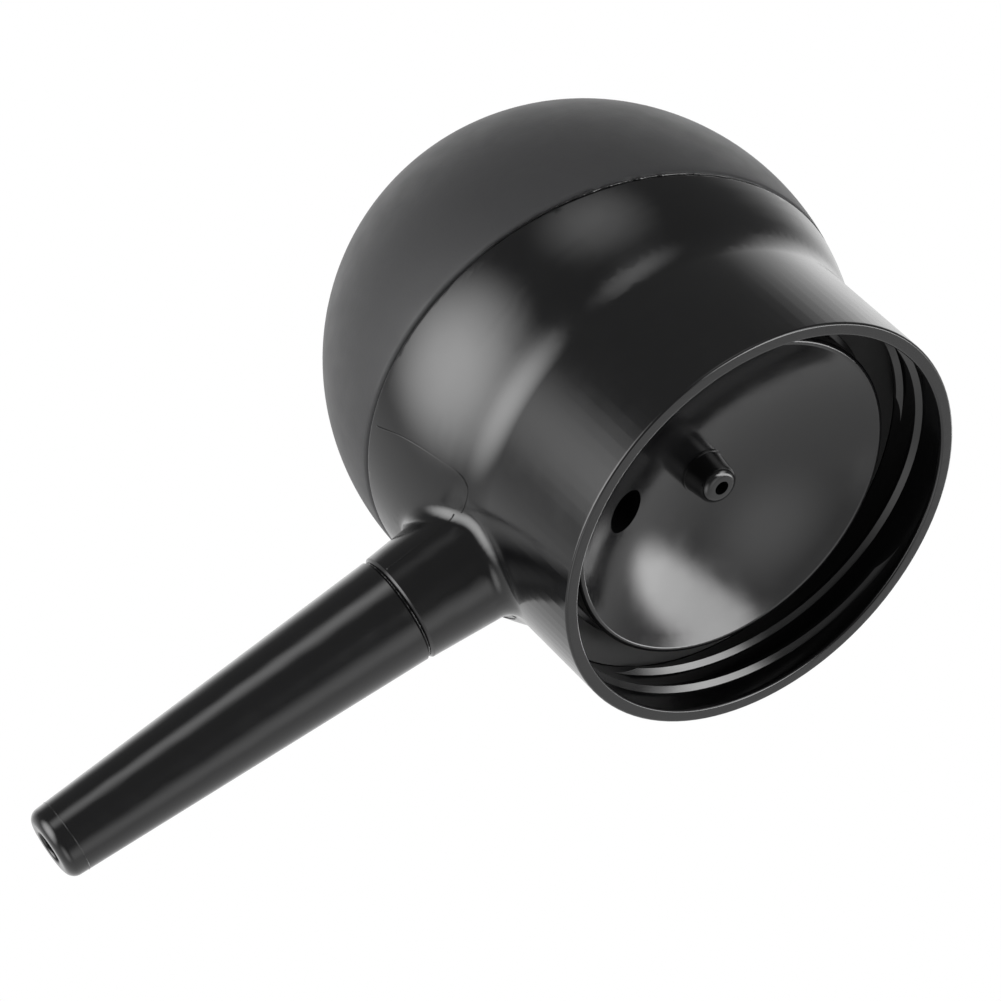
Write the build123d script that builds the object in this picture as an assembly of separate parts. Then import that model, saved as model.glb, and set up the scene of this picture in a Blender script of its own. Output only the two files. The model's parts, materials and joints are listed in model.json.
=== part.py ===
from build123d import *
import math
import os

# Squeeze-pump spray head: a soft bulb on a screw collar, with a push-on side nozzle.
# Millimetres. The origin is the centre of the collar's rim, +Z runs up the collar's axis to the
# bulb, and +X runs along the nozzle. The head stands on its rim. The bulb and the bowl under it
# are one egg shape on the collar's axis, parted by a seam plane that leans back from the nozzle.

# ---- screw collar, which takes a bottle's neck ----
RIM_R = 25.3
COLLAR_BORE_R = 24.4
LIP_R = 23.75                # the bore narrows to this at the rim
LIP_DEPTH = 1.2
LIP_STRAIGHT = 0.5
RIM_FILLET = 0.3
COLLAR_DEPTH = 12.2          # from the rim up to the ledge that the partition sits on
LEDGE_R = 22.4
LEDGE_TOP = 13.4

# ---- three-start right-hand thread in the collar ----
THREAD_STARTS = 3
THREAD_LEAD = 10.6
THREAD_CREST_R = 23.75
THREAD_START_Z = 2.6
THREAD_RISE = 6.3
THREAD_START_ANGLE = 228.0   # where the first ridge starts, from +X towards +Y
THREAD_ROOT_WIDTH = 1.3
THREAD_CREST_WIDTH = 0.45
THREAD_RUNOUT = 10.0         # degrees over which each end sinks into the wall

# ---- egg shape of the bulb and bowl ----
EGG_Z = 33.2                 # height of its widest section
EGG_R = 29.4
EGG_HALF = 30.9              # from the widest section up to the crown
SEAM_Z = 28.6                # where the seam plane crosses the collar's axis
SEAM_LEAN = 9.0              # degrees, away from the nozzle
SEAM_GAP = 0.15
BOWL_WALL = 1.8
BULB_WALL = 2.2
NECK_FILLET = 9.0
WAIST_TOP = 20.0             # the collar cylinder ends inside the bowl here
SEAM_EDGE_FILLET = 0.3

# ---- bulb skirt and the ring that holds it ----
SKIRT_CLEAR = 0.1
SKIRT_WALL = 1.5
SKIRT_DEPTH = 6.0
RING_WALL = 1.3
RING_CLEAR = 0.05
RING_DEPTH = 5.0

# ---- partition with its dish ----
PLUG_R = 20.0
PLUG_WALL = 1.4
DISH_EDGE_Z = 5.2
DISH_CENTRE_Z = 11.3
DISH_EDGE_FILLET = 0.5
FLANGE_BOTTOM = 10.6
FLANGE_R = COLLAR_BORE_R - 0.05
GASKET_THICK = 1.0
GASKET_SEAT_R = PLUG_R + 0.6  # a low step at the plug's root that centres the gasket

# ---- air jet at the dish's centre ----
JET_TIP_Z = 7.75
JET_TIP_R = 2.2
JET_TIP_FILLET = 1.0
JET_ROOT_R = 2.6
JET_FLANGE_R = 2.72
JET_FLANGE_Z = 11.0
JET_STEM_R = 1.7
JET_BORE_R = 0.85
JET_TOP_Z = 16.0

# ---- way out for the fibres, from the dish to the nozzle ----
OUTLET_X, OUTLET_Y = 10.8, 4.0
DUCT_R = 3.3
DUCT_BORE_R = 2.5
DUCT_START_Z = 12.4          # on top of the partition's web

# ---- nozzle and the boss that it plugs into ----
NOZZLE_Z = 19.65
BOSS_ROOT_X, BOSS_ROOT_R = 22.5, 7.4
BOSS_END_X, BOSS_END_R = 35.35, 6.35
BOSS_INNER_X, BOSS_INNER_R = 21.0, 5.9
BOSS_FILLET = 2.0
JOINT_CHAMFER = 0.3
SOCKET_R = 4.65
SOCKET_X = 24.6              # the socket's floor, where the duct ends
SPIGOT_R = 4.60
SPIGOT_X = 24.9
NOZZLE_BASE_X, NOZZLE_BASE_R = 35.5, 6.25
NOZZLE_TIP_X, NOZZLE_TIP_R = 81.0, 4.15
NOZZLE_TIP_FILLET = 1.3
NOZZLE_THROAT_R = 3.2
OUTLET_R = 1.85
OUTLET_LENGTH = 8.0
OUTLET_FILLET = 0.35


def seam_frame():
    """The seam's own frame: origin on the collar's axis, Z square to the seam plane."""
    lean = math.radians(SEAM_LEAN)
    return Plane(origin=(0, 0, SEAM_Z), x_dir=(math.cos(lean), 0, math.sin(lean)),
                 z_dir=(-math.sin(lean), 0, math.cos(lean)))


def egg(inset=0.0):
    """The whole egg as a solid, or one set in from it all round."""
    across, half = EGG_R - inset, EGG_HALF - inset
    arc = EllipticalCenterArc((0, 0), across, half, start_angle=-90, arc_size=180)
    face = make_face([arc, Line((0, half), (0, -half))])
    return Pos(0, 0, EGG_Z) * revolve(Plane.XZ * face, Axis.Z)


def slab(low, high):
    """Everything between two planes parallel to the seam, at heights counted from it."""
    size = 4 * EGG_R
    block = Pos(0, 0, (low + high) / 2) * Box(size, size, high - low)
    return seam_frame().location * block


def along_x(radius, start, end, end_radius=None):
    """A round bar or cone on the nozzle's axis."""
    place = Pos(start, 0, NOZZLE_Z) * Rot(0, 90, 0)
    low = (Align.CENTER, Align.CENTER, Align.MIN)
    if end_radius is None:
        return place * Cylinder(radius, end - start, align=low)
    return place * Cone(radius, end_radius, end - start, align=low)


def upright(radius, low, high):
    """A round bar on the collar's axis."""
    return Pos(0, 0, low) * Cylinder(radius, high - low, align=(Align.CENTER, Align.CENTER, Align.MIN))


def thread_ridge(start_angle):
    """One of the collar's ridges, which climbs round the bore and sinks into it at both ends."""
    root = COLLAR_BORE_R + 0.3
    flank = (THREAD_ROOT_WIDTH - THREAD_CREST_WIDTH) / 2 / (COLLAR_BORE_R - THREAD_CREST_R)
    half_root = THREAD_CREST_WIDTH / 2 + flank * (root - THREAD_CREST_R)
    helix = Helix(THREAD_LEAD, THREAD_RISE, root, center=(0, 0, THREAD_START_Z))
    outline = Polyline(
        (root, THREAD_START_Z - half_root),
        (THREAD_CREST_R, THREAD_START_Z - THREAD_CREST_WIDTH / 2),
        (THREAD_CREST_R, THREAD_START_Z + THREAD_CREST_WIDTH / 2),
        (root, THREAD_START_Z + half_root),
        close=True,
    )
    ridge = sweep(Plane.XZ * make_face(outline), path=helix, is_frenet=True)
    ridge = Rot(0, 0, start_angle) * ridge
    end_angle = start_angle + 360 * THREAD_RISE / THREAD_LEAD
    ridge -= runout(start_angle, THREAD_START_Z)
    return ridge - runout(end_angle, THREAD_START_Z + THREAD_RISE)


def runout(angle, height):
    """Disc that cuts a ridge's end down to the bore and leaves it whole one run-out further on."""
    drop = COLLAR_BORE_R - THREAD_CREST_R * math.cos(math.radians(THREAD_RUNOUT))
    shift = (COLLAR_BORE_R**2 - THREAD_CREST_R**2) / 2 / drop
    place = Rot(0, 0, angle) * Pos(shift, 0, height)
    return place * Cylinder(COLLAR_BORE_R + 0.02 - shift, 2 * THREAD_ROOT_WIDTH)


def body_outside():
    """The moulding's outer form: bowl, collar and boss, solid inside."""
    form = egg() & slab(-3 * EGG_R, 0)
    form += upright(RIM_R, -1, WAIST_TOP)
    form -= Pos(0, 0, -2 * EGG_R) * Box(4 * EGG_R, 4 * EGG_R, 4 * EGG_R)
    form = fillet(hoops(form)[1], NECK_FILLET)
    form = fillet(hoops(form)[-1], SEAM_EDGE_FILLET)
    boss = along_x(BOSS_ROOT_R, BOSS_ROOT_X, BOSS_END_X, BOSS_END_R)
    boss = chamfer(boss.edges().sort_by(Axis.X)[-1], JOINT_CHAMFER)
    form += boss
    root = [edge for edge in form.edges() if is_boss_root(edge)]
    return fillet(root, BOSS_FILLET)


def hoops(solid):
    """The edges that run right round the collar's axis, lowest first."""
    return sorted((edge for edge in solid.edges() if edge.length > 5 * RIM_R),
                  key=lambda edge: edge.bounding_box().max.Z)


def is_boss_root(edge):
    """Whether an edge lies where the boss grows out of the bowl and collar."""
    centre, box = edge.center(), edge.bounding_box()
    near_axis = abs(centre.Y) < 1.5 * BOSS_ROOT_R and abs(centre.Z - NOZZLE_Z) < 1.5 * BOSS_ROOT_R
    return near_axis and box.min.X > BOSS_ROOT_X and box.max.X < BOSS_END_X - 2


def body_hollow():
    """Space inside the moulding: bowl, ledge opening, collar bore and the lip at its rim."""
    above_ledge = Pos(0, 0, LEDGE_TOP + 2 * EGG_R) * Box(4 * EGG_R, 4 * EGG_R, 4 * EGG_R)
    hollow = egg(BOWL_WALL) & above_ledge
    hollow += upright(LEDGE_R, -1, LEDGE_TOP + 4)
    hollow += upright(COLLAR_BORE_R, LIP_DEPTH, COLLAR_DEPTH)
    hollow += Pos(0, 0, LIP_STRAIGHT) * Cone(
        LIP_R, COLLAR_BORE_R, LIP_DEPTH - LIP_STRAIGHT, align=(Align.CENTER, Align.CENTER, Align.MIN))
    return hollow + upright(LIP_R, -1, LIP_STRAIGHT)


def body_shell():
    """Collar, bowl and nozzle boss in one moulding, open at the seam and at the mouth."""
    shell = body_outside() - body_hollow()
    rim = shell.edges().filter_by(GeomType.CIRCLE).group_by(Axis.Z)[0]
    shell = fillet(rim, RIM_FILLET)
    stub = along_x(BOSS_INNER_R, BOSS_INNER_X, BOSS_ROOT_X + 4) & egg(BOWL_WALL / 2)
    shell += stub
    shell -= along_x(DUCT_R, BOSS_INNER_X - 1, SOCKET_X + 1)
    shell -= along_x(SOCKET_R, SOCKET_X, BOSS_END_X + 1)
    for start in range(THREAD_STARTS):
        ridge = thread_ridge(THREAD_START_ANGLE + 360 / THREAD_STARTS * start)
        shell += ridge & upright(COLLAR_BORE_R + 0.2, 0, COLLAR_DEPTH)
    return shell


def bulb():
    """Soft dome, flush with the bowl, with a skirt that tucks inside it."""
    dome = (egg() - egg(BULB_WALL)) & slab(SEAM_GAP, 3 * EGG_R)
    tuck = BOWL_WALL + SKIRT_CLEAR
    skirt = egg(tuck) - egg(tuck + SKIRT_WALL)
    skirt &= slab(-SKIRT_DEPTH, SKIRT_WALL)
    return dome + skirt


def bulb_retaining_ring():
    """Ring sprung inside the bulb's skirt, which presses it out against the bowl."""
    inset = BOWL_WALL + SKIRT_CLEAR + SKIRT_WALL + RING_CLEAR
    ring = egg(inset) - egg(inset + RING_WALL)
    return ring & slab(-SKIRT_DEPTH, RING_DEPTH - SKIRT_DEPTH)


def dish_sphere(lift=0.0):
    """Ball whose underside cap is the dish, or one raised to the web's top."""
    rise = DISH_CENTRE_Z - DISH_EDGE_Z
    radius = (PLUG_R ** 2 + rise ** 2) / (2 * rise)
    return Pos(0, 0, DISH_CENTRE_Z - radius) * Sphere(radius + lift)


def partition_dish():
    """Plug that the bottle's neck slides over, closed by a web with a dished underside."""
    plug = upright(PLUG_R, DISH_EDGE_Z, FLANGE_BOTTOM + 1)
    plug += upright(GASKET_SEAT_R, FLANGE_BOTTOM - GASKET_THICK, FLANGE_BOTTOM)
    plug += upright(FLANGE_R, FLANGE_BOTTOM, COLLAR_DEPTH)
    plug -= dish_sphere()
    room_above = upright(PLUG_R - PLUG_WALL, DISH_EDGE_Z, COLLAR_DEPTH + 1) - dish_sphere(PLUG_WALL)
    web_boss = Pos(OUTLET_X, OUTLET_Y, DUCT_START_Z - 3) * Cylinder(
        DUCT_R + 0.9, 3, align=(Align.CENTER, Align.CENTER, Align.MIN))
    plug = plug - room_above + (web_boss - dish_sphere(PLUG_WALL / 2))
    plug = fillet(plug.edges().filter_by(GeomType.CIRCLE).group_by(Axis.Z)[0], DISH_EDGE_FILLET)
    outlet = Pos(OUTLET_X, OUTLET_Y, 0) * Cylinder(DUCT_BORE_R, 4 * COLLAR_DEPTH)
    return plug - outlet - upright(JET_STEM_R, -1, COLLAR_DEPTH + 3)


def air_jet():
    """Nipple on the dish's centre that lets the bulb's air down into the bottle."""
    seat = DISH_CENTRE_Z - 0.1
    points = [
        (JET_BORE_R, JET_TIP_Z),
        (JET_TIP_R, JET_TIP_Z),
        (JET_ROOT_R, JET_FLANGE_Z),
        (JET_FLANGE_R, JET_FLANGE_Z),
        (JET_FLANGE_R, seat),
        (JET_STEM_R, seat),
        (JET_STEM_R, JET_TOP_Z),
        (JET_BORE_R, JET_TOP_Z),
    ]
    jet = revolve(Plane.XZ * make_face(Polyline(*points, close=True)), Axis.Z)
    tip = jet.edges().filter_by(GeomType.CIRCLE).group_by(Axis.Z)[0].sort_by(SortBy.RADIUS)[-1]
    return fillet(tip, JET_TIP_FILLET)


def fibre_duct():
    """Bent tube from the dish's outlet to the socket behind the nozzle."""
    route = FilletPolyline(
        (OUTLET_X, OUTLET_Y, DUCT_START_Z),
        (OUTLET_X, OUTLET_Y, DUCT_START_Z + 3.5),
        (OUTLET_X + 4.6, 0, NOZZLE_Z),
        (SOCKET_X, 0, NOZZLE_Z),
        radius=4.0,
    )
    start = Plane(origin=(OUTLET_X, OUTLET_Y, DUCT_START_Z), z_dir=(0, 0, 1))
    ring = start * (Circle(DUCT_R) - Circle(DUCT_BORE_R))
    return sweep(ring, path=route)


def neck_gasket():
    """Flat washer that the bottle's mouth seals against."""
    low, high = FLANGE_BOTTOM - GASKET_THICK, FLANGE_BOTTOM
    return upright(COLLAR_BORE_R - 0.1, low, high) - upright(GASKET_SEAT_R + 0.05, low - 1, high + 1)


def nozzle_tube():
    """Tapered nozzle with a rounded end and a spigot that pushes into the boss."""
    cone = along_x(NOZZLE_BASE_R, NOZZLE_BASE_X, NOZZLE_TIP_X, NOZZLE_TIP_R)
    cone = fillet(cone.edges().sort_by(Axis.X)[-1], NOZZLE_TIP_FILLET)
    cone = chamfer(cone.edges().sort_by(Axis.X)[0], JOINT_CHAMFER)
    tube = cone + along_x(SPIGOT_R, SPIGOT_X, NOZZLE_BASE_X)
    taper_end = NOZZLE_TIP_X - OUTLET_LENGTH
    tube -= along_x(NOZZLE_THROAT_R, SPIGOT_X - 1, taper_end, OUTLET_R)
    tube -= along_x(OUTLET_R, taper_end - 0.5, NOZZLE_TIP_X + 1)
    end_edges = tube.edges().filter_by(GeomType.CIRCLE).group_by(Axis.X)[-1]
    return fillet(end_edges.sort_by(SortBy.RADIUS)[0], OUTLET_FILLET)


SUB_PARTS = [
    body_shell,
    bulb,
    bulb_retaining_ring,
    partition_dish,
    air_jet,
    fibre_duct,
    neck_gasket,
    nozzle_tube,
]

os.makedirs("parts", exist_ok=True)
for make in SUB_PARTS:
    solid = make()
    export_step(solid, f"parts/{make.__name__}.step")
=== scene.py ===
import json
import math

import bmesh
import bpy
import numpy as np
from mathutils import Matrix, Quaternion, Vector
from mathutils.bvhtree import BVHTree


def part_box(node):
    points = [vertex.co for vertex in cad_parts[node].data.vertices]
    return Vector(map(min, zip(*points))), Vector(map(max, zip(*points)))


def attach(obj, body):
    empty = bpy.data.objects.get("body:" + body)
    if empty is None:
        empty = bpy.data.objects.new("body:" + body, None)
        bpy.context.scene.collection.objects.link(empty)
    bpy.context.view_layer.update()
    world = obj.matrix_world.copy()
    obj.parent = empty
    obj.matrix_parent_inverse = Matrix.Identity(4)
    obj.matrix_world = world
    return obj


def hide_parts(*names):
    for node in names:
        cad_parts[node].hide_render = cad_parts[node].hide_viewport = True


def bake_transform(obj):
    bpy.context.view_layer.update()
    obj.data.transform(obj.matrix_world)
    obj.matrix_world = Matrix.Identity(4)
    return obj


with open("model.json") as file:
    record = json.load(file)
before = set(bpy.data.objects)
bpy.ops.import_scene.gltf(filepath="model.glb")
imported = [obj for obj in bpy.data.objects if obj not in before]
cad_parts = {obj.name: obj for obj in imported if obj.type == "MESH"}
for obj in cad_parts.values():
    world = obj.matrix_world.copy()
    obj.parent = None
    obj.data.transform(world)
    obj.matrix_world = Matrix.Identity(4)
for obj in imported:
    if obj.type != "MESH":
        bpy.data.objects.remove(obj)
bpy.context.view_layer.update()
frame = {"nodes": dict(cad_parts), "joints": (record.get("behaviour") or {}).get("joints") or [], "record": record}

MM = 0.001

# ---- the CAD's own measures, which the pieces made here have to fit ----
EGG_Z = 33.2 * MM                      # the egg's widest section, over the collar's rim
EGG_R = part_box("bulb")[1].y
EGG_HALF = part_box("bulb")[1].z - EGG_Z
SEAM_Z = 28.6 * MM                     # where the seam plane crosses the collar's axis
SEAM_UP = -Vector(next(j["axis"] for j in frame["joints"] if j["name"] == "bulb_squeeze"))
NOZZLE_Z = (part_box("nozzle_tube")[0].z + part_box("nozzle_tube")[1].z) / 2


# ============================== small helpers ==============================

def new_object(name, mesh):
    """Puts a mesh in the scene as an object."""
    obj = bpy.data.objects.new(name, mesh)
    bpy.context.scene.collection.objects.link(obj)
    return obj


def grid_mesh(name, points, closed_rows=True, closed_columns=False):
    """A quad mesh through points[row][column]; rows or columns may join up into loops."""
    rows, columns = points.shape[:2]
    faces = []
    for i in range(rows if closed_columns else rows - 1):
        for j in range(columns if closed_rows else columns - 1):
            a, b = i % rows, (i + 1) % rows
            c, d = j % columns, (j + 1) % columns
            faces.append((a * columns + c, a * columns + d, b * columns + d, b * columns + c))
    mesh = bpy.data.meshes.new(name)
    mesh.from_pydata([tuple(p) for p in points.reshape(-1, 3)], [], faces)
    mesh.polygons.foreach_set("use_smooth", [True] * len(mesh.polygons))
    mesh.update()
    return mesh


# ================================ materials ================================

CLOUD_SIZE = 8               # how much coarser the roughness varies than the bump does
NOISE_LOW, NOISE_HIGH = 0.3, 0.7     # nearly all of the noise lies between these


def node(tree, kind, **sockets):
    """Adds a node and sets its input sockets by name, with spaces written as underscores."""
    made = tree.nodes.new(kind)
    for name, value in sockets.items():
        made.inputs[name.replace("_", " ")].default_value = value
    return made


def base_material(name, **sockets):
    """A material with one Principled shader; returns it with its tree and shader."""
    material = bpy.data.materials.new(name)
    material.use_nodes = True
    tree = material.node_tree
    shader = tree.nodes["Principled BSDF"]
    for socket, value in sockets.items():
        shader.inputs[socket.replace("_", " ")].default_value = value
    return material, tree, shader


def grain(tree, shader, scale, roughness, height):
    """Noise that shifts the roughness between two values, and a fine bump of the given height."""
    place = tree.nodes.new("ShaderNodeTexCoord")
    cloud = node(tree, "ShaderNodeTexNoise", Scale=scale / CLOUD_SIZE, Detail=3.0)
    fine = node(tree, "ShaderNodeTexNoise", Scale=scale, Detail=4.0)
    spread = node(
        tree, "ShaderNodeMapRange",
        From_Min=NOISE_LOW, From_Max=NOISE_HIGH, To_Min=roughness[0], To_Max=roughness[1])
    bump = node(tree, "ShaderNodeBump", Strength=1.0, Distance=height)
    link = tree.links.new
    link(place.outputs["Object"], cloud.inputs["Vector"])
    link(place.outputs["Object"], fine.inputs["Vector"])
    link(cloud.outputs["Fac"], spread.inputs["Value"])
    link(spread.outputs["Result"], shader.inputs["Roughness"])
    link(fine.outputs["Fac"], bump.inputs["Height"])
    link(bump.outputs["Normal"], shader.inputs["Normal"])


def gloss_black():
    """Polished black moulding: glossy, with a faint ripple from the mould."""
    material, tree, shader = base_material("gloss_black", Base_Color=(0.003, 0.003, 0.0032, 1), IOR=1.5)
    grain(tree, shader, 3200, (0.13, 0.18), 0.0009 * MM)
    return material


def inner_black():
    """The same plastic with a coarser grain, for the ring and the duct hidden inside the head."""
    material, tree, shader = base_material("inner_black", Base_Color=(0.004, 0.004, 0.0042, 1), IOR=1.5)
    grain(tree, shader, 1400, (0.13, 0.19), 0.002 * MM)
    return material


def bulb_rubber():
    """Soft-touch matt rubber: a fine even grain and a slight bloom at grazing angles."""
    material, tree, shader = base_material(
        "bulb_rubber", Base_Color=(0.019, 0.019, 0.02, 1), IOR=1.45,
        Sheen_Weight=0.08, Sheen_Roughness=0.5)
    grain(tree, shader, 2600, (0.52, 0.60), 0.012 * MM)
    return material


def gasket_rubber():
    """Dull black sealing rubber."""
    material, tree, shader = base_material("gasket_rubber", Base_Color=(0.02, 0.02, 0.02, 1), IOR=1.5)
    grain(tree, shader, 1200, (0.5, 0.7), 0.008 * MM)
    return material


MATERIALS = {
    "gloss_black": gloss_black(),
    "bulb_rubber": bulb_rubber(),
    "inner_black": inner_black(),
    "gasket_rubber": gasket_rubber(),
}
for part in frame["record"]["subparts"]:
    mesh = frame["nodes"][part["node"]].data
    mesh.materials.clear()
    mesh.materials.append(MATERIALS[part["material_slot"]])


# =============================== mouldings =================================

RIM_R = 25.3 * MM
RIM_CUT = 0.4 * MM           # the rim is made anew below this height
RIM_FILLET = 0.3 * MM
RIM_STEP = 11.25             # degrees of each step round the rim's fillets
LIP_R = 23.75 * MM
WELD = 0.002 * MM            # points nearer than this become one
SHARP_ANGLE = 28             # degrees between two faces from which their edge stays sharp


def draw_rim(shape):
    """Cuts the collar's end off and draws it again with evenly rounded edges."""
    everything = shape.verts[:] + shape.edges[:] + shape.faces[:]
    bmesh.ops.bisect_plane(
        shape, geom=everything, plane_co=(0, 0, RIM_CUT), plane_no=(0, 0, -1), clear_outer=True)
    cut = [edge for edge in shape.edges if edge.is_boundary]
    middle = (RIM_R + LIP_R) / 2
    ends = []
    for radius, side in ((RIM_R, -1), (LIP_R, 1)):
        loop = [e for e in cut if (e.verts[0].co.xy.length > middle) == (radius > middle)]
        place_loop(loop, radius, RIM_CUT)
        for turn in np.radians(np.arange(0, 91, RIM_STEP)):
            loop = extrude_loop(shape, loop)
            inset = RIM_FILLET * (1 - math.cos(turn))
            place_loop(loop, radius + side * inset, RIM_FILLET * (1 - math.sin(turn)))
        ends += loop
    bmesh.ops.bridge_loops(shape, edges=ends)


def extrude_loop(shape, loop):
    """Grows one row of faces from a loop of edges and returns the new loop."""
    grown = bmesh.ops.extrude_edge_only(shape, edges=loop)["geom"]
    return [item for item in grown if isinstance(item, bmesh.types.BMEdge) and item.is_boundary]


def place_loop(loop, radius, height):
    """Sets a loop's points to one radius and height on the collar's axis."""
    for vert in {vert for edge in loop for vert in edge.verts}:
        scale = radius / vert.co.xy.length
        vert.co = (vert.co.x * scale, vert.co.y * scale, height)


def make_moulding(name, node_name, body, redraw=None):
    """The CAD part with its facets joined and shaded by area, so that its long faces look even."""
    source = frame["nodes"][node_name]
    mesh = bpy.data.meshes.new(name)
    shape = bmesh.new()
    shape.from_mesh(source.data)
    bmesh.ops.remove_doubles(shape, verts=shape.verts, dist=WELD)
    if redraw:
        redraw(shape)
    bmesh.ops.recalc_face_normals(shape, faces=shape.faces)
    for face in shape.faces:
        face.smooth = True
    for edge in shape.edges:
        edge.smooth = edge.is_manifold and edge.calc_face_angle() < math.radians(SHARP_ANGLE)
    shape.to_mesh(mesh)
    shape.free()
    mesh.materials.append(source.data.materials[0])
    moulding = new_object(name, mesh)
    moulding.matrix_world = source.matrix_world.copy()
    shading = moulding.modifiers.new("shading", "WEIGHTED_NORMAL")
    shading.keep_sharp = True
    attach(moulding, body)
    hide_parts(node_name)
    return moulding


head = make_moulding("head_moulding", "body_shell", "head", redraw=draw_rim)
make_moulding("dished_partition", "partition_dish", "head")
make_moulding("air_jet_nipple", "air_jet", "head")
nozzle = make_moulding("spray_nozzle", "nozzle_tube", "nozzle")


# ================================== bulb ===================================

TUCK = 1.9 * MM              # how far inside the egg the skirt's outer face lies
SKIRT_WALL = 1.5 * MM
SKIRT_DEPTH = 6.0 * MM
BULB_WALL = 2.2 * MM
SEAM_GAP = 0.15 * MM
LIP_RADIUS = 0.6 * MM
SKIRT_ROUND = 0.35 * MM      # the bevel on the skirt's lower corners
SKIRT_EASE = 0.1 * MM        # the bevel where the skirt leaves the lip
NEAR_CROWN = 0.99            # how far towards the crown the loops run before a cap closes them
LOOPS_OUTSIDE, LOOPS_INSIDE = 70, 40
AROUND = 240                 # points on each loop


def egg_ring(inset, height, share=0.0):
    """A loop on the egg set in by `inset`, `height` over the seam, or `share` of the way to the crown."""
    phi = np.linspace(0, 2 * np.pi, AROUND, endpoint=False)
    across, half = EGG_R - inset, EGG_HALF - inset
    up = SEAM_UP.z * half
    lean = -SEAM_UP.x * across * np.cos(phi)
    level = height - SEAM_UP.z * (EGG_Z - SEAM_Z)
    latitude = np.arctan2(lean, up) + np.arcsin(level / np.hypot(up, lean))
    latitude += (np.pi / 2 - latitude) * share
    radius = across * np.cos(latitude)
    return np.stack([radius * np.cos(phi), radius * np.sin(phi), EGG_Z + half * np.sin(latitude)], axis=1)


def bulb_rings():
    """Loops from the crown down the outside, round the lip and the skirt, and back up the inside."""
    down = np.linspace(NEAR_CROWN, 0, LOOPS_OUTSIDE)
    rings = [egg_ring(0, SEAM_GAP + LIP_RADIUS, share) for share in down]
    for turn in np.radians(np.arange(15, 91, 15)):
        height = SEAM_GAP + LIP_RADIUS * (1 - math.sin(turn))
        rings.append(egg_ring(LIP_RADIUS * (1 - math.cos(turn)), height))
    inner = TUCK + SKIRT_WALL
    skirt = [
        (TUCK - SKIRT_EASE, SEAM_GAP),
        (TUCK, SEAM_GAP - SKIRT_EASE),
        (TUCK, -SKIRT_DEPTH / 2),
        (TUCK, SKIRT_ROUND - SKIRT_DEPTH),
        (TUCK + SKIRT_ROUND, -SKIRT_DEPTH),
        (inner - SKIRT_ROUND, -SKIRT_DEPTH),
        (inner, SKIRT_ROUND - SKIRT_DEPTH),
        (inner, -SKIRT_DEPTH / 2),
        (inner, SKIRT_WALL),
        (inner - LIP_RADIUS, 2 * SKIRT_WALL),
    ]
    rings += [egg_ring(inset, height) for inset, height in skirt]
    back_up = np.linspace(0, NEAR_CROWN, LOOPS_INSIDE)
    rings += [egg_ring(BULB_WALL, 3 * SKIRT_WALL, share) for share in back_up]
    return np.array(rings)


def make_bulb():
    """The soft dome as one closed skin."""
    mesh = grid_mesh("squeeze_bulb", bulb_rings())
    shape = bmesh.new()
    shape.from_mesh(mesh)
    ends = bmesh.ops.holes_fill(shape, edges=[e for e in shape.edges if e.is_boundary], sides=0)["faces"]
    bmesh.ops.poke(shape, faces=ends)
    bmesh.ops.recalc_face_normals(shape, faces=shape.faces)
    for face in shape.faces:
        face.smooth = True
    shape.to_mesh(mesh)
    shape.free()
    mesh.materials.append(MATERIALS["bulb_rubber"])
    bulb = new_object("squeeze_bulb", mesh)
    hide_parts("bulb")
    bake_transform(bulb)


make_bulb()


# ================== mould lines and flash, as thin beads ===================

OFF_AXIS = (0.31, 0.42, 0.85)        # a direction that no bead follows
PARTING_R = 0.08 * MM
# The parting line over the bowl, by azimuth in degrees and height in mm.
PARTING_BENDS = [
    (26.4, 31.6), (28.6, 27.5), (29.0, 23.5), (28.0, 20.0), (25.5, 18.7), (21.5, 18.6), (17.5, 19.0)]
PARTING_BOSS = (25.6, 34.9)          # where it starts and ends along the boss, in mm
TIP_RING_X, TIP_RING_R = 78.7 * MM, 4.25 * MM
JOINT_RING_X, JOINT_RING_R = 35.5 * MM, 5.93 * MM
RING_THICK = 0.05 * MM
RING_POINTS = 200
FLASH_FROM, FLASH_TO = 0.2, 0.4      # the seam's flash, as shares of the way round the bulb
FLASH_LUMP = 6                       # points from one lump of flash to the next


def bead(name, path, radii, body, closed=False):
    """A thin closed thread of plastic along a path in metres."""
    path = np.array(path)
    ahead = np.roll(path, -1, axis=0) - np.roll(path, 1, axis=0)
    if not closed:
        ahead[0], ahead[-1] = path[1] - path[0], path[-1] - path[-2]
    ahead /= np.linalg.norm(ahead, axis=1)[:, None]
    side = np.cross(ahead, OFF_AXIS)
    side /= np.linalg.norm(side, axis=1)[:, None]
    up = np.cross(side, ahead)
    turns = np.radians(np.arange(0, 360, 45))[None, :, None]
    ring = np.cos(turns) * side[:, None] + np.sin(turns) * up[:, None]
    points = path[:, None] + ring * np.broadcast_to(radii, len(path))[:, None, None]
    mesh = grid_mesh(name, points, closed_columns=closed)
    shape = bmesh.new()
    shape.from_mesh(mesh)
    bmesh.ops.holes_fill(shape, edges=[e for e in shape.edges if e.is_boundary], sides=0)
    bmesh.ops.recalc_face_normals(shape, faces=shape.faces)
    shape.to_mesh(mesh)
    shape.free()
    mesh.materials.append(MATERIALS["gloss_black"])
    thread = new_object(name, mesh)
    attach(thread, body)


def smooth_path(corners, steps):
    """Points on one smooth curve through a few corners."""
    corners = np.array(corners, float)
    padded = np.vstack([2 * corners[0] - corners[1], corners, 2 * corners[-1] - corners[-2]])
    points = []
    for a, b, c, d in zip(padded, padded[1:], padded[2:], padded[3:]):
        for t in np.linspace(0, 1, steps, endpoint=False):
            points.append(0.5 * (2 * b + (c - a) * t + (2 * a - 5 * b + 4 * c - d) * t ** 2
                                 + (3 * b - a - 3 * c + d) * t ** 3))
    return np.array(points + [corners[-1]])


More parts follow.
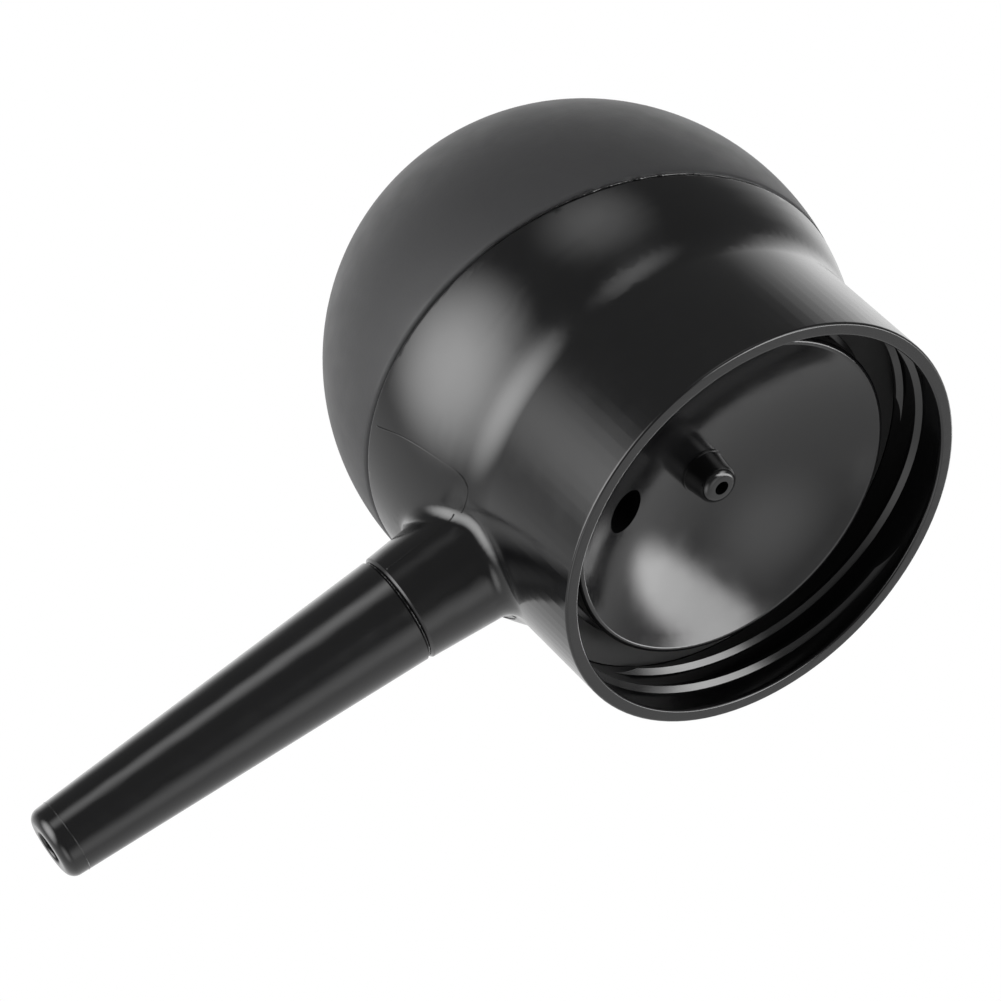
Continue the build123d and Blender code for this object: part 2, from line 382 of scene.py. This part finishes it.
def make_parting_lines():
    """The mould's parting line, over the bowl on both sides and along the boss."""
    surface = BVHTree.FromObject(head, bpy.context.evaluated_depsgraph_get())
    for side, word in ((1, "left"), (-1, "right")):
        path = []
        for azimuth, height in smooth_path(PARTING_BENDS, 16):
            turn = math.radians(azimuth * side)
            inward = Vector((-math.cos(turn), -math.sin(turn), 0))
            start = Vector((0, 0, height * MM)) - inward * 2 * EGG_R
            path.append(surface.ray_cast(start, inward)[0])
        bead(f"parting_line_bowl_{word}", path, PARTING_R, "head")
        inward = Vector((0, -side, 0))
        path = [surface.ray_cast(Vector((x * MM, side * EGG_R, NOZZLE_Z)), inward)[0]
                for x in np.linspace(*PARTING_BOSS, 40)]
        bead(f"parting_line_boss_{word}", path, PARTING_R, "head")


def ring_on_nozzle(name, x, radius, spread):
    """A ring of flash round the nozzle's axis, its thickness a little uneven."""
    turn = np.linspace(0, 2 * np.pi, RING_POINTS, endpoint=False)
    y, z = radius * np.cos(turn), NOZZLE_Z + radius * np.sin(turn)
    path = np.stack([np.full_like(turn, x), y, z], axis=1)
    thickness = RING_THICK + spread * np.random.default_rng(7).random(RING_POINTS)
    bead(name, path, thickness, "nozzle", closed=True)


def make_seam_flash():
    """Crumbs of flash along the far side of the seam."""
    rng = np.random.default_rng(3)
    ring = egg_ring(0.03 * MM, 0.02 * MM)
    path = smooth_path(ring[int(AROUND * FLASH_FROM):int(AROUND * FLASH_TO)], 5)
    lumps = rng.random(len(path) // FLASH_LUMP + 2)
    swell = np.interp(np.arange(len(path)), np.arange(0, len(path) + FLASH_LUMP, FLASH_LUMP), lumps)
    fade = np.sin(np.linspace(0, np.pi, len(path))) ** 0.5
    radii = (0.02 + fade * (0.22 * swell ** 2 + 0.08 * rng.random(len(path)))) * MM
    bead("seam_flash", path, radii, "head")


make_parting_lines()
ring_on_nozzle("tip_parting_ring", TIP_RING_X, TIP_RING_R, 0.01 * MM)
ring_on_nozzle("joint_flash", JOINT_RING_X, JOINT_RING_R, 0.09 * MM)
make_seam_flash()


# ============================ camera and studio ============================

CAMERA_AZIMUTH = 162.84
CAMERA_ELEVATION = -40.34
CAMERA_ROLL = -45.59
CAMERA_DISTANCE = 0.5478
CAMERA_AIM = Vector((18.12, -1.21, 25.36)) * MM
CAMERA_LENS = 179.82
CAMERA_SENSOR = 36.0


def outward(azimuth, elevation):
    """Unit vector from the object towards a view's camera; azimuth 0 looks along +Y."""
    a, e = math.radians(azimuth), math.radians(elevation)
    return Vector((math.sin(a) * math.cos(e), -math.cos(a) * math.cos(e), math.sin(e)))


def make_camera():
    """The photograph's view: from below the collar, rolled, with a long lens."""
    back = outward(CAMERA_AZIMUTH, CAMERA_ELEVATION)
    level = Vector((0, 0, 1)).cross(back).normalized()
    turn = Matrix.Rotation(math.radians(CAMERA_ROLL), 3, back)
    right = turn @ level
    up = back.cross(right)
    data = bpy.data.cameras.new("camera")
    data.lens = CAMERA_LENS
    data.sensor_width = CAMERA_SENSOR
    data.clip_start, data.clip_end = 0.01, 50
    camera = bpy.data.objects.new("camera", data)
    bpy.context.scene.collection.objects.link(camera)
    pose = Matrix((right, up, back)).transposed().to_4x4()
    pose.translation = CAMERA_AIM + back * CAMERA_DISTANCE
    camera.matrix_world = pose
    bpy.context.scene.camera = camera


BOX_DISTANCE = 1.2
BOX_EDGE = 0.48              # where a box has faded out, as a share of its side from the middle
# Soft boxes round the object: azimuth, elevation, width and height in degrees, and radiance.
SOFT_BOXES = {
    "main": (125, 11, 88, 78, 7.2),
    "side": (204, 13, 56, 44, 1.6),
    "under_wide": (245, -44, 46, 44, 6.0),
    "low_glint": (322, -10, 14, 18, 8.0),
    "below": (330, -80, 56, 56, 1.1),
    "under_fill": (85, -46, 66, 50, 1.8),
    "back_strip": (334, 2, 26, 44, 6.0),
    "over": (290, 37, 70, 60, 1.2),
    "top": (340, 76, 70, 70, 0.9),
}
UNDER_BRIGHT = (273, -57, 98, 24, 7.8)       # a long tilted box that the dish reflects
UNDER_BRIGHT_ROLL = 24
NOZZLE_STRIP = (185, 9, 70, 44, 2.3)
NOZZLE_STRIP_AIM = Vector((58, 0, 20)) * MM
NOZZLE_STRIP_DISTANCE = 0.22
FILL_DARK, FILL_LIGHT = 0.24, 0.92
FILL_FROM = 20               # azimuth of the room's lighter side
FLOOR_Z = -0.62
FLOOR_REACH = 12.0           # from the middle of the floor to its sides


def make_soft_box(name, azimuth, elevation, width, height, radiance,
                  roll=0, core=0.02, aim=CAMERA_AIM, distance=BOX_DISTANCE):
    """An area light that faces its aim, and fades out between its core and its edges."""
    data = bpy.data.lights.new(name, "AREA")
    data.shape = "RECTANGLE"
    data.size = 2 * distance * math.tan(math.radians(width / 2))
    data.size_y = 2 * distance * math.tan(math.radians(height / 2))
    data.energy = math.pi * data.size * data.size_y * radiance
    data.use_nodes = True
    tree = data.node_tree
    place = tree.nodes.new("ShaderNodeNewGeometry")
    middle = tree.nodes.new("ShaderNodeVectorMath")
    middle.operation = "DISTANCE"
    middle.inputs[1].default_value = (0.5, 0.5, 0)
    fade = node(tree, "ShaderNodeMapRange", From_Min=core, From_Max=BOX_EDGE, To_Min=1.0, To_Max=0.0)
    fade.interpolation_type = "SMOOTHSTEP"
    tree.links.new(place.outputs["Parametric"], middle.inputs[0])
    tree.links.new(middle.outputs["Value"], fade.inputs["Value"])
    tree.links.new(fade.outputs["Result"], tree.nodes["Emission"].inputs["Strength"])
    light = bpy.data.objects.new(name, data)
    light.visible_camera = False
    back = outward(azimuth, elevation)
    light.location = aim + back * distance
    turn = back.to_track_quat("Z", "Y") @ Quaternion((0, 0, 1), math.radians(roll))
    light.rotation_euler = turn.to_euler()
    bpy.context.scene.collection.objects.link(light)
    return light


def make_nozzle_strip():
    """A small soft box over the nozzle that lights nothing else."""
    strip = make_soft_box(
        "nozzle_strip", *NOZZLE_STRIP, aim=NOZZLE_STRIP_AIM, distance=NOZZLE_STRIP_DISTANCE)
    lit = bpy.data.collections.new("nozzle_strip_lights")
    lit.objects.link(nozzle)
    strip.light_linking.receiver_collection = lit


def make_world():
    """A white room to the camera, and a dim one, lighter on one side, to the object."""
    world = bpy.data.worlds.new("room")
    bpy.context.scene.world = world
    world.use_nodes = True
    tree = world.node_tree
    seen = tree.nodes["Background"]
    seen.inputs["Color"].default_value = (1, 1, 1, 1)
    felt = node(tree, "ShaderNodeBackground", Color=(1, 1, 1, 1))
    place = tree.nodes.new("ShaderNodeTexCoord")
    toward = tree.nodes.new("ShaderNodeVectorMath")
    toward.operation = "DOT_PRODUCT"
    toward.inputs[1].default_value = outward(FILL_FROM, 0)
    level = node(
        tree, "ShaderNodeMapRange", From_Min=-0.1, From_Max=0.5, To_Min=FILL_DARK, To_Max=FILL_LIGHT)
    ray = tree.nodes.new("ShaderNodeLightPath")
    choose = tree.nodes.new("ShaderNodeMixShader")
    link = tree.links.new
    link(place.outputs["Generated"], toward.inputs[0])
    link(toward.outputs["Value"], level.inputs["Value"])
    link(level.outputs["Result"], felt.inputs["Strength"])
    link(ray.outputs["Is Camera Ray"], choose.inputs["Fac"])
    link(felt.outputs["Background"], choose.inputs[1])
    link(seen.outputs["Background"], choose.inputs[2])
    link(choose.outputs["Shader"], tree.nodes["World Output"].inputs["Surface"])


def make_floor():
    """Plain pale floor, well under the camera, which looks up at the object."""
    sides = (-FLOOR_REACH, FLOOR_REACH)
    points = np.array([[(x, y, FLOOR_Z) for x in sides] for y in sides])
    floor = new_object("floor", grid_mesh("floor", points, closed_rows=False))
    material = base_material(
        "floor", Base_Color=(0.8, 0.8, 0.8, 1), Roughness=0.9,
        Emission_Color=(1, 1, 1, 1), Emission_Strength=0.6)[0]
    floor.data.materials.append(material)
    floor.visible_glossy = False
    floor.visible_diffuse = False
    floor.visible_shadow = False


make_camera()
make_world()
make_floor()
for title, box in SOFT_BOXES.items():
    make_soft_box(title, *box)
make_soft_box("under_bright", *UNDER_BRIGHT, roll=UNDER_BRIGHT_ROLL, core=0.25)
make_nozzle_strip()
bpy.context.scene.view_settings.view_transform = "Standard"
